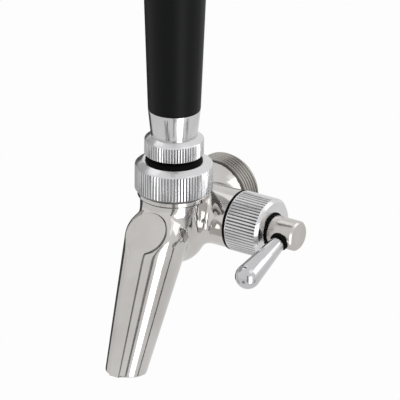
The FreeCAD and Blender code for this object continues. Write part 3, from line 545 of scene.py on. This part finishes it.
def innerPassages():
    p = passageSet
    passages = joined("inner_passages", [
        rod("chamber", p["chamberRadius"], offset(neck, y=-p["chamberFront"]),
            offset(neck, y=p["chamberBack"])),
        rod("seatPocket", p["seatRadius"], offset(neck, y=-p["seatFront"]), neck),
        rod("frontPassage", p["frontRadius"], offset(neck, y=-p["frontReach"]), neck),
        ball("elbow", p["elbowRadius"],
             offset(neck, y=-p["frontReach"], z=-p["elbowDrop"])),
        rod("fingerWell", p["fingerRadius"], neck, offset(neck, z=p["fingerTop"])),
        rod("ballWell", p["ballWellRadius"], offset(neck, z=p["ballWellFoot"]),
            offset(neck, z=p["ballWellTop"])),
        rod("stemPassage", p["stemRadius"], branchAt, offset(branchAt, x=p["stemReach"])),
        rod("glandPocket", p["glandRadius"], offset(branchAt, x=p["glandFoot"]),
            offset(branchAt, x=p["glandTop"])),
    ])
    remeshed(passages, p["voxel"])
    return passages


skin = joined("casting_skin", castingForms())
meltSkin(skin)
bored(skin, innerPassages())
bored(skin, rod(
    "spoutBore", castingSet["spoutBore"],
    spoutFullEnd + spoutDown * castingSet["borePast"] * mm,
    spoutTopAt + spoutDown * castingSet["boreStop"] * mm))
smoothBy(skin, castingSet["smooth"])
finish(skin, "stainlessPolished", "faucet")
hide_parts("faucet_body")
print("casting skin:", len(skin.data.polygons), "faces")

# neck flange: a crisp ring at the top of the skin, with a band of painted shade under it
flangeSet = {
    # radius and height of each corner in turn
    "profile": [(8.62, 10.35), (13.3, 10.35), (13.35, 10.85), (13.7, 10.9), (13.9, 11.05),
                (13.9, 12.4), (13.5, 12.85), (11.6, 12.85), (11.6, 19.8), (8.62, 19.8)],
    "segments": 160, "smooth": 35, "paintedShadeTop": 10.86,
}
flange = turnRing("neck_flange", flangeSet["profile"], flangeSet["segments"], "z", neck)
smoothBy(flange, flangeSet["smooth"])
finish(flange, "stainlessPolished", "faucet")
flange.data.materials.append(materials["stepShade"])
# the faces below the band's top take the dark colour: painted shade under the flange's step
for polygon in flange.data.polygons:
    if polygon.center.z < flangeSet["paintedShadeTop"] * mm:
        polygon.material_index = 1
print("neck flange made")

# side gasket: a black ring that shows between the branch and its nut
gasketSet = {
    # radius and distance from the branch's foot of each corner in turn
    "profile": [(8.6, 21.2), (11.42, 21.2), (11.42, 20.6), (11.72, 20.6), (11.75, 20.65),
                (11.75, 21.8), (8.6, 21.8)],
    "segments": 160, "smooth": 35,
}
gasket = turnRing("side_gasket", gasketSet["profile"], gasketSet["segments"], "x", branchAt)
smoothBy(gasket, gasketSet["smooth"])
finish(gasket, "blackRubber", "faucet")
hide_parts("nut_gasket")
print("side gasket made")

# shank thread: crests at the trade's pitch, and slots across the rear face
threadSet = {
    "crest": 14.29, "root": 13.5, "pitch": 1.411, "crestShare": 0.16, "rootShare": 0.16,
    "front": 9.4, "rear": 1.25, "rearSpare": 0.5, "segments": 192, "smooth": 30,
    # the step into the casting in front, and the eased corner at the rear
    "stepRadius": 12.6, "lipRadius": 13.25, "stepDeep": 0.9, "lipDeep": 0.1,
    "cornerIn": 0.15, "cornerDeep": 0.12, "faceIn": 0.3,
    "inner": 10.32, "washerDeep": 1.4, "bore": 8.22,
    "slots": 24, "slotDeep": 0.9, "slotWide": 0.8, "slotFrom": 10.2, "slotTo": 13.0,
}


def threadProfile():
    t = threadSet
    start = -t["front"]
    flank = (1 - t["crestShare"] - t["rootShare"]) / 2 * t["pitch"]
    profile = [(t["stepRadius"], start - t["stepDeep"]), (t["lipRadius"], start - t["stepDeep"]),
               (t["root"], start - t["lipDeep"])]
    while start + t["pitch"] < -t["rear"] + t["rearSpare"]:
        profile += [
            (t["root"], start),
            (t["crest"], start + flank),
            (t["crest"], start + flank + t["crestShare"] * t["pitch"]),
            (t["root"], start + (1 - t["rootShare"]) * t["pitch"]),
        ]
        start += t["pitch"]
    return profile + [
        (t["root"], start), (t["root"] - t["cornerIn"], -t["cornerDeep"]),
        (t["root"] - t["faceIn"], 0.0), (t["inner"], 0.0), (t["inner"], -t["washerDeep"]),
        (t["bore"], -t["washerDeep"]), (t["bore"], -t["front"] - t["stepDeep"]),
    ]


def rearSlots():
    t = threadSet
    reach = (t["slotFrom"] + t["slotTo"]) / 2 * mm
    slots = []
    for step in range(t["slots"]):
        angle = 2 * math.pi * step / t["slots"]
        bpy.ops.mesh.primitive_cube_add(
            size=1, location=(reach * math.cos(angle), 0, reach * math.sin(angle)),
            rotation=(0, -angle, 0),
            scale=((t["slotTo"] - t["slotFrom"]) * mm, 2 * t["slotDeep"] * mm,
                   t["slotWide"] * mm))
        slots.append(settle(bpy.context.object, "slot"))
    return joined("slots", slots)


thread = turnRing("shank_thread", threadProfile(), threadSet["segments"], "y", Vector())
bored(thread, rearSlots())
smoothBy(thread, threadSet["smooth"])
finish(thread, "threadCrests", "faucet")
print("shank thread made")


# keyhole pad: a grid laid along the slanted nose and the spout's front, with a soft rim
def stripPath():
    # where the slanted face and the strip meet, the way down, the way out, and the length
    frontTop = spoutTopAt + spoutOut * castingSet["spoutTop"] * mm
    frontEnd = spoutTopAt + (spoutDown * spoutFull + spoutOut * castingSet["spoutEnd"]) * mm
    way = (frontEnd - frontTop).normalized()
    out = Vector((0, way.z, -way.y))
    if out.y > 0:
        out = -out
    lineStart = frontTop + out * padSet["stripRise"] * mm
    reach = (facePoint - lineStart).dot(faceOut) / way.dot(faceOut)
    corner = lineStart + way * reach
    lowEnd = corner + way * ((outletAt - corner).dot(outletOut) / way.dot(outletOut))
    return corner, way, out, (lowEnd - corner).length


padCorner, stripDown, stripOut, stripLength = stripPath()
discRadius = padSet["radius"] * mm
bendRadius = padSet["bend"] * mm
bendAngle = faceDown.angle(stripDown)
bendReach = bendRadius * math.tan(bendAngle / 2)
bendLength = bendRadius * bendAngle
topStart = (padCorner - facePoint).dot(faceDown) + discRadius  # from the corner to the top
straightTop = topStart - bendReach
totalPath = straightTop + bendLength + stripLength - bendReach


def alongPad(travel):
    # the place and the outward way, this far down from the disc's top
    if travel <= straightTop:
        return padCorner - faceDown * (topStart - travel), faceOut
    if travel >= straightTop + bendLength:
        left = travel - straightTop - bendLength
        sink = padSet["endSink"] * mm * left / (stripLength - bendReach)
        return padCorner + stripDown * (bendReach + left) - stripOut * sink, stripOut
    turn = (travel - straightTop) / bendRadius
    centre = padCorner - faceDown * bendReach - faceOut * padSet["bend"] * mm
    out = faceOut * math.cos(turn) + faceDown * math.sin(turn)
    return centre + out * padSet["bend"] * mm, out


def halfWidth(fromCentre):
    # half the pad's width, this far below the disc's centre
    disc = math.sqrt(max(0.0, discRadius ** 2 - fromCentre ** 2))
    if fromCentre <= 0:
        return disc
    reach = fade(fromCentre, totalPath - discRadius)
    strip = (padSet["topHalf"] + (padSet["endHalf"] - padSet["topHalf"]) * reach) * mm
    return (disc ** padSet["corner"] + strip ** padSet["corner"]) ** (1 / padSet["corner"])


def placeKey(place):
    # a place as a key, to a ten-thousandth of a millimetre
    return tuple(round(value, 7) for value in place)


bpy.ops.mesh.primitive_grid_add(
    x_subdivisions=padSet["columns"], y_subdivisions=padSet["rows"], size=2)
pad = bpy.context.object
pad.name = "front_pad"
outAt = {}
for vert in pad.data.vertices:
    across, down = vert.co.x, (1 - vert.co.y) / 2
    travel = (totalPath + padSet["spare"] * mm) * (
        padSet["rowBend"] * down ** padSet["rowPower"] + padSet["rowEven"] * down)
    half = halfWidth(travel - discRadius) - padSet["edge"] * mm
    place, out = alongPad(travel)
    vert.co = place + Vector((across * max(half, padSet["leastHalf"] * mm), 0, 0))
    outAt[placeKey(vert.co)] = out
cleaned(pad, padSet["mergeGap"])
for look in ("padBrushed", "stainlessPolished", "stepShade"):
    pad.data.materials.append(materials[look])
flatFaces = len(pad.data.polygons)

# the pad's open edges, with their outward and sideways ways and the drop to the skin
uses = {}
for polygon in pad.data.polygons:
    for key in polygon.edge_keys:
        uses[key] = uses.get(key, 0) + 1
openEdges = [key for key, count in uses.items() if count == 1]
beside = {}
for first, second in openEdges:
    beside.setdefault(first, []).append(second)
    beside.setdefault(second, []).append(first)
rim = {}
drops = {}
for index, (one, other) in beside.items():
    place = pad.data.vertices[index].co.copy()
    key = min(outAt, key=lambda known: (Vector(known) - place).length_squared)
    out = outAt[key]
    tangent = (pad.data.vertices[one].co - pad.data.vertices[other].co).normalized()
    sideways = tangent.cross(out).normalized()
    if sideways.dot(place - facePoint) < 0:
        sideways = -sideways
    below = (place - facePoint).dot(faceDown)
    if abs(sideways.x) < padSet["endAside"] and below > discRadius * padSet["endFrom"]:
        sideways = Vector()  # the lower end is trimmed with the outlet
    elif below > discRadius * padSet["sidesFrom"]:
        sideways = Vector((math.copysign(1.0, place.x), 0, 0))
    footOut = padSet["edge"] + padSet["hollow"]
    foot = place + sideways * footOut * mm
    hit, where, _, _ = skin.ray_cast(
        foot + out * padSet["probeUp"] * mm, -out, distance=padSet["probeReach"] * mm)
    drop = (foot - where).dot(out) / mm if hit else padSet["rise"]
    rim[index] = (place, out, sideways)
    drops[index] = max(drop, footOut + padSet["leastWall"])
for _ in range(padSet["evenRounds"]):
    drops = {index: (2 * drops[index] + sum(drops[near] for near in beside[index])) / 4
             for index in drops}

# the rim itself: over a soft edge, down a wall, out in a hollow and under the skin
rimSteps = [("edge", degrees) for degrees in padSet["edgeTurns"]]
rimSteps += [("hollow", degrees) for degrees in padSet["hollowTurns"]]
rimSteps += [("tuck", 0)]


def rimAt(part, degrees, drop):
    # how far aside and how far up from the open edge, in millimetres
    angle = math.radians(degrees)
    edge, hollow = padSet["edge"], padSet["hollow"]
    if part == "edge":
        return edge * math.sin(angle), -edge * (1 - math.cos(angle))
    if part == "hollow":
        return (edge + hollow * (1 - math.cos(angle)),
                hollow - drop - hollow * math.sin(angle))
    return edge + hollow + padSet["tuckOut"], -drop - padSet["tuckDown"]


onlySelect(pad)
bpy.ops.object.mode_set(mode="EDIT")
bpy.ops.mesh.select_mode(type="VERT")
bpy.ops.mesh.select_all(action="DESELECT")
leaveEdit()
for index in rim:
    pad.data.vertices[index].select = True
openKeys = set(openEdges)
for meshEdge in pad.data.edges:
    meshEdge.select = meshEdge.key in openKeys
current = {placeKey(place): index for index, (place, _, _) in rim.items()}
for part, degrees in rimSteps:
    bpy.ops.object.mode_set(mode="EDIT")
    bpy.ops.mesh.select_mode(type="EDGE")
    bpy.ops.mesh.extrude_edges_move()
    leaveEdit()
    moved = {}
    for vert in pad.data.vertices:
        if vert.select:
            index = current[placeKey(vert.co)]
            place, out, sideways = rim[index]
            aside, lift = rimAt(part, degrees, drops[index])
            vert.co = place + sideways * aside * mm + out * lift * mm
            moved[placeKey(vert.co)] = index
    current = moved
# the rim's steep wall faces take the dark stepShade colour, painted shade along the pad's walls;
# the flatter rim faces are polished
for polygon in pad.data.polygons:
    if polygon.index < flatFaces:
        polygon.material_index = 0
        continue
    facing = max(abs(polygon.normal.dot(way)) for way in (faceOut, stripOut))
    polygon.material_index = 2 if facing < padSet["steepShare"] else 1
editAll(pad)
bpy.ops.mesh.normals_make_consistent(inside=False)
leaveEdit()
middle = min(pad.data.polygons, key=lambda face: (face.center - facePoint).length)
if middle.normal.dot(faceOut) < 0:
    editAll(pad)
    bpy.ops.mesh.flip_normals()
    leaveEdit()
wall = pad.modifiers.new("wall", "SOLIDIFY")
wall.thickness = padSet["wall"] * mm
wall.offset = -1
applyAll(pad)
sliced(pad, outletAt, outletOut)
smoothBy(pad, padSet["smooth"])
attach(pad, "faucet")
print("pad made:", len(pad.data.polygons), "faces")

# turned and knurled pieces: merged copies of CAD pieces, with their edges eased
easeSet = {"mergeGap": 0.000002, "flatAngle": 0.4, "segments": 2}
easedPieces = {
    # CAD piece, material, slot, body, width of the eased edges, least angle of an edge
    "bonnet_ring": ("bonnet", "bonnetFlutes", "bright_knurl", "faucet", 0.05, 28),
    "collar_ring": ("lever_collar", "collarFlutes", "bright_knurl", "handle", 0.05, 28),
    "branch_nut": ("control_nut", "nutFlutes", "bright_knurl", "faucet", 0.05, 28),
    "handle_cup": ("handle_ferrule", "ferruleTurned", "chrome", "handle", 0.15, 28),
    "bonnet_seal": ("dust_ring", "blackRubber", "black_rubber", "faucet", 0.15, 28),
    "stem_bar": ("control_stem", "stemTurned", "stainless_brushed", "control", 0.12, 28),
    "side_lever": ("control_lever", "chromeMirror", "chrome", "control", 0.1, 35),
}


def dressed(name, nodeName, material, slotName, body, edge, angle):
    source = nodes[nodeName]
    copy = source.copy()
    copy.data = source.data.copy()
    copy.parent = None
    for key in list(copy.keys()):
        del copy[key]
    scene.collection.objects.link(copy)
    copy.name = name
    onlySelect(copy)
    if copy.data.has_custom_normals:
        bpy.ops.mesh.customdata_custom_splitnormals_clear()
    editAll(copy)
    bpy.ops.mesh.remove_doubles(threshold=easeSet["mergeGap"])
    bpy.ops.mesh.dissolve_limited(angle_limit=math.radians(easeSet["flatAngle"]))
    leaveEdit()
    bevel = copy.modifiers.new("soft edges", "BEVEL")
    bevel.width = edge * mm
    bevel.segments = easeSet["segments"]
    bevel.limit_method = "ANGLE"
    bevel.angle_limit = math.radians(angle)
    applyAll(copy)
    smoothBy(copy, angle)
    finish(copy, material, body)
    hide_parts(nodeName)


for name, values in easedPieces.items():
    dressed(name, *values)
print("turned pieces eased")

# camera at the photograph's angle, far off with a long lens
viewSet = {
    "azimuth": 33.5, "elevation": 24.0, "roll": 0.4, "pixelsPerMm": 2.62,
    "neckPixel": (173.8, 219.6), "photoSize": 400, "distance": 4.0, "sensor": 36,
    "near": 0.05, "far": 30,
}
turnAngle = math.radians(viewSet["azimuth"])
riseAngle = math.radians(viewSet["elevation"])
rightWay = Vector((math.cos(turnAngle), math.sin(turnAngle), 0))
lookWay = Vector((-math.sin(turnAngle) * math.cos(riseAngle),
                  math.cos(turnAngle) * math.cos(riseAngle), -math.sin(riseAngle)))
upWay = rightWay.cross(lookWay)
onePixel = mm / viewSet["pixelsPerMm"]
halfPhoto = viewSet["photoSize"] / 2
aim = (neck + rightWay * (halfPhoto - viewSet["neckPixel"][0]) * onePixel
       - upWay * (halfPhoto - viewSet["neckPixel"][1]) * onePixel)
bpy.ops.object.camera_add(location=aim - lookWay * viewSet["distance"])
camera = bpy.context.object
camera.rotation_euler = lookWay.to_track_quat("-Z", "Y").to_euler()
camera.rotation_euler.rotate_axis("Z", math.radians(viewSet["roll"]))
camera.data.sensor_width = viewSet["sensor"]
camera.data.lens = viewSet["sensor"] * viewSet["distance"] / (viewSet["photoSize"] * onePixel)
camera.data.clip_start = viewSet["near"]
camera.data.clip_end = viewSet["far"]
scene.camera = camera

# pale floor and world, both nearly white to the camera and dimmer as light
floorSet = {
    "size": 8, "height": -0.34, "tone": 0.95, "roughness": 0.9, "glow": 1.0,
    "cameraShare": 0.96, "glossyShare": 0.6,
}
worldSet = {"ambient": 0.5, "backdrop": 1.0, "glossyShare": 0.8}
white = (1, 1, 1, 1)
bpy.ops.mesh.primitive_plane_add(size=floorSet["size"], location=(0, 0, floorSet["height"]))
floor = bpy.context.object
floor.name = "floor"
floorMaterial, floorTree, floorShader = startMaterial(
    "paleFloor", [floorSet["tone"]] * 3, 0.0, floorSet["roughness"])
floorGlow = floorTree.nodes.new("ShaderNodeEmission")
floorGlow.inputs["Color"].default_value = white
floorGlow.inputs["Strength"].default_value = floorSet["glow"]
floorRays = floorTree.nodes.new("ShaderNodeLightPath").outputs
floorShare = mathNode(
    floorTree, "MAXIMUM",
    mathNode(floorTree, "MULTIPLY", floorRays["Is Camera Ray"], floorSet["cameraShare"]),
    mathNode(floorTree, "MULTIPLY", floorRays["Is Glossy Ray"], floorSet["glossyShare"]))
mixInto(floorTree, "Material Output", floorShare, floorShader, floorGlow)
floor.data.materials.append(floorMaterial)

world = bpy.data.worlds.new("studio")
scene.world = world
world.use_nodes = True
worldTree = world.node_tree
ambient = worldTree.nodes["Background"]
ambient.inputs["Color"].default_value = white
ambient.inputs["Strength"].default_value = worldSet["ambient"]
backdrop = worldTree.nodes.new("ShaderNodeBackground")
backdrop.inputs["Color"].default_value = white
backdrop.inputs["Strength"].default_value = worldSet["backdrop"]
worldRays = worldTree.nodes.new("ShaderNodeLightPath").outputs
worldShare = mathNode(
    worldTree, "MAXIMUM", worldRays["Is Camera Ray"],
    mathNode(worldTree, "MULTIPLY", worldRays["Is Glossy Ray"], worldSet["glossyShare"]))
mixInto(worldTree, "World Output", worldShare, ambient, backdrop)

# lamps, and dark cards that only reflections show
lampSet = {
    # turn right of the camera, height angle, distance, width, height, brightness
    "bandLamp": (27, -12, 0.34, 0.13, 0.34, 2.6),
    "topLamp": (62, 56, 1.1, 0.8, 0.5, 0.35),
    "rightLamp": (95, 30, 1.2, 0.7, 0.7, 0.8),
    "backLamp": (-140, 55, 1.2, 0.7, 0.7, 0.34),
}
cardSet = {
    # turn right of the camera, height angle, distance, width, height, tone
    "cardLens": (0, -2, 0.45, 0.07, 0.50, 0.42),
    "cardLine": (64, -27, 0.46, 0.04, 0.17, 0.10),
    "cardLeft": (-153, -8, 0.50, 0.41, 0.44, 0.12),
    "cardNear": (-34, -34, 0.40, 0.14, 0.16, 0.45),
    "cardHigh": (-125, 32, 0.60, 0.50, 0.35, 0.74),
}
cardRoughness = 0.9


def around(turn, rise, distance):
    # a place round the neck, turned to the right of the camera's own side
    angle = turnAngle - math.radians(90 - turn)
    lift = math.radians(rise)
    return neck + Vector((math.cos(angle) * math.cos(lift), math.sin(angle) * math.cos(lift),
                          math.sin(lift))) * distance


for lampName, (turn, rise, distance, width, height, brightness) in lampSet.items():
    place = around(turn, rise, distance)
    bpy.ops.object.light_add(type="AREA", location=place)
    lamp = bpy.context.object
    lamp.name = lampName
    lamp.data.shape = "RECTANGLE"
    lamp.data.size = width
    lamp.data.size_y = height
    lamp.data.energy = brightness * math.pi * width * height
    lamp.visible_camera = False
    lamp.rotation_euler = (neck - place).to_track_quat("-Z", "Y").to_euler()

for cardName, (turn, rise, distance, width, height, tone) in cardSet.items():
    place = around(turn, rise, distance)
    bpy.ops.mesh.primitive_plane_add(
        size=1, location=place, rotation=(neck - place).to_track_quat("Z", "Y").to_euler())
    card = bpy.context.object
    card.name = cardName
    card.scale = (width, height, 1)
    card.visible_camera = False
    card.visible_shadow = False
    card.visible_diffuse = False
    cardMaterial, _, cardShader = startMaterial(
        cardName + "Cloth", [tone] * 3, 0.0, cardRoughness)
    cardShader.inputs["Specular IOR Level"].default_value = 0.0
    card.data.materials.append(cardMaterial)
print("camera and light set")
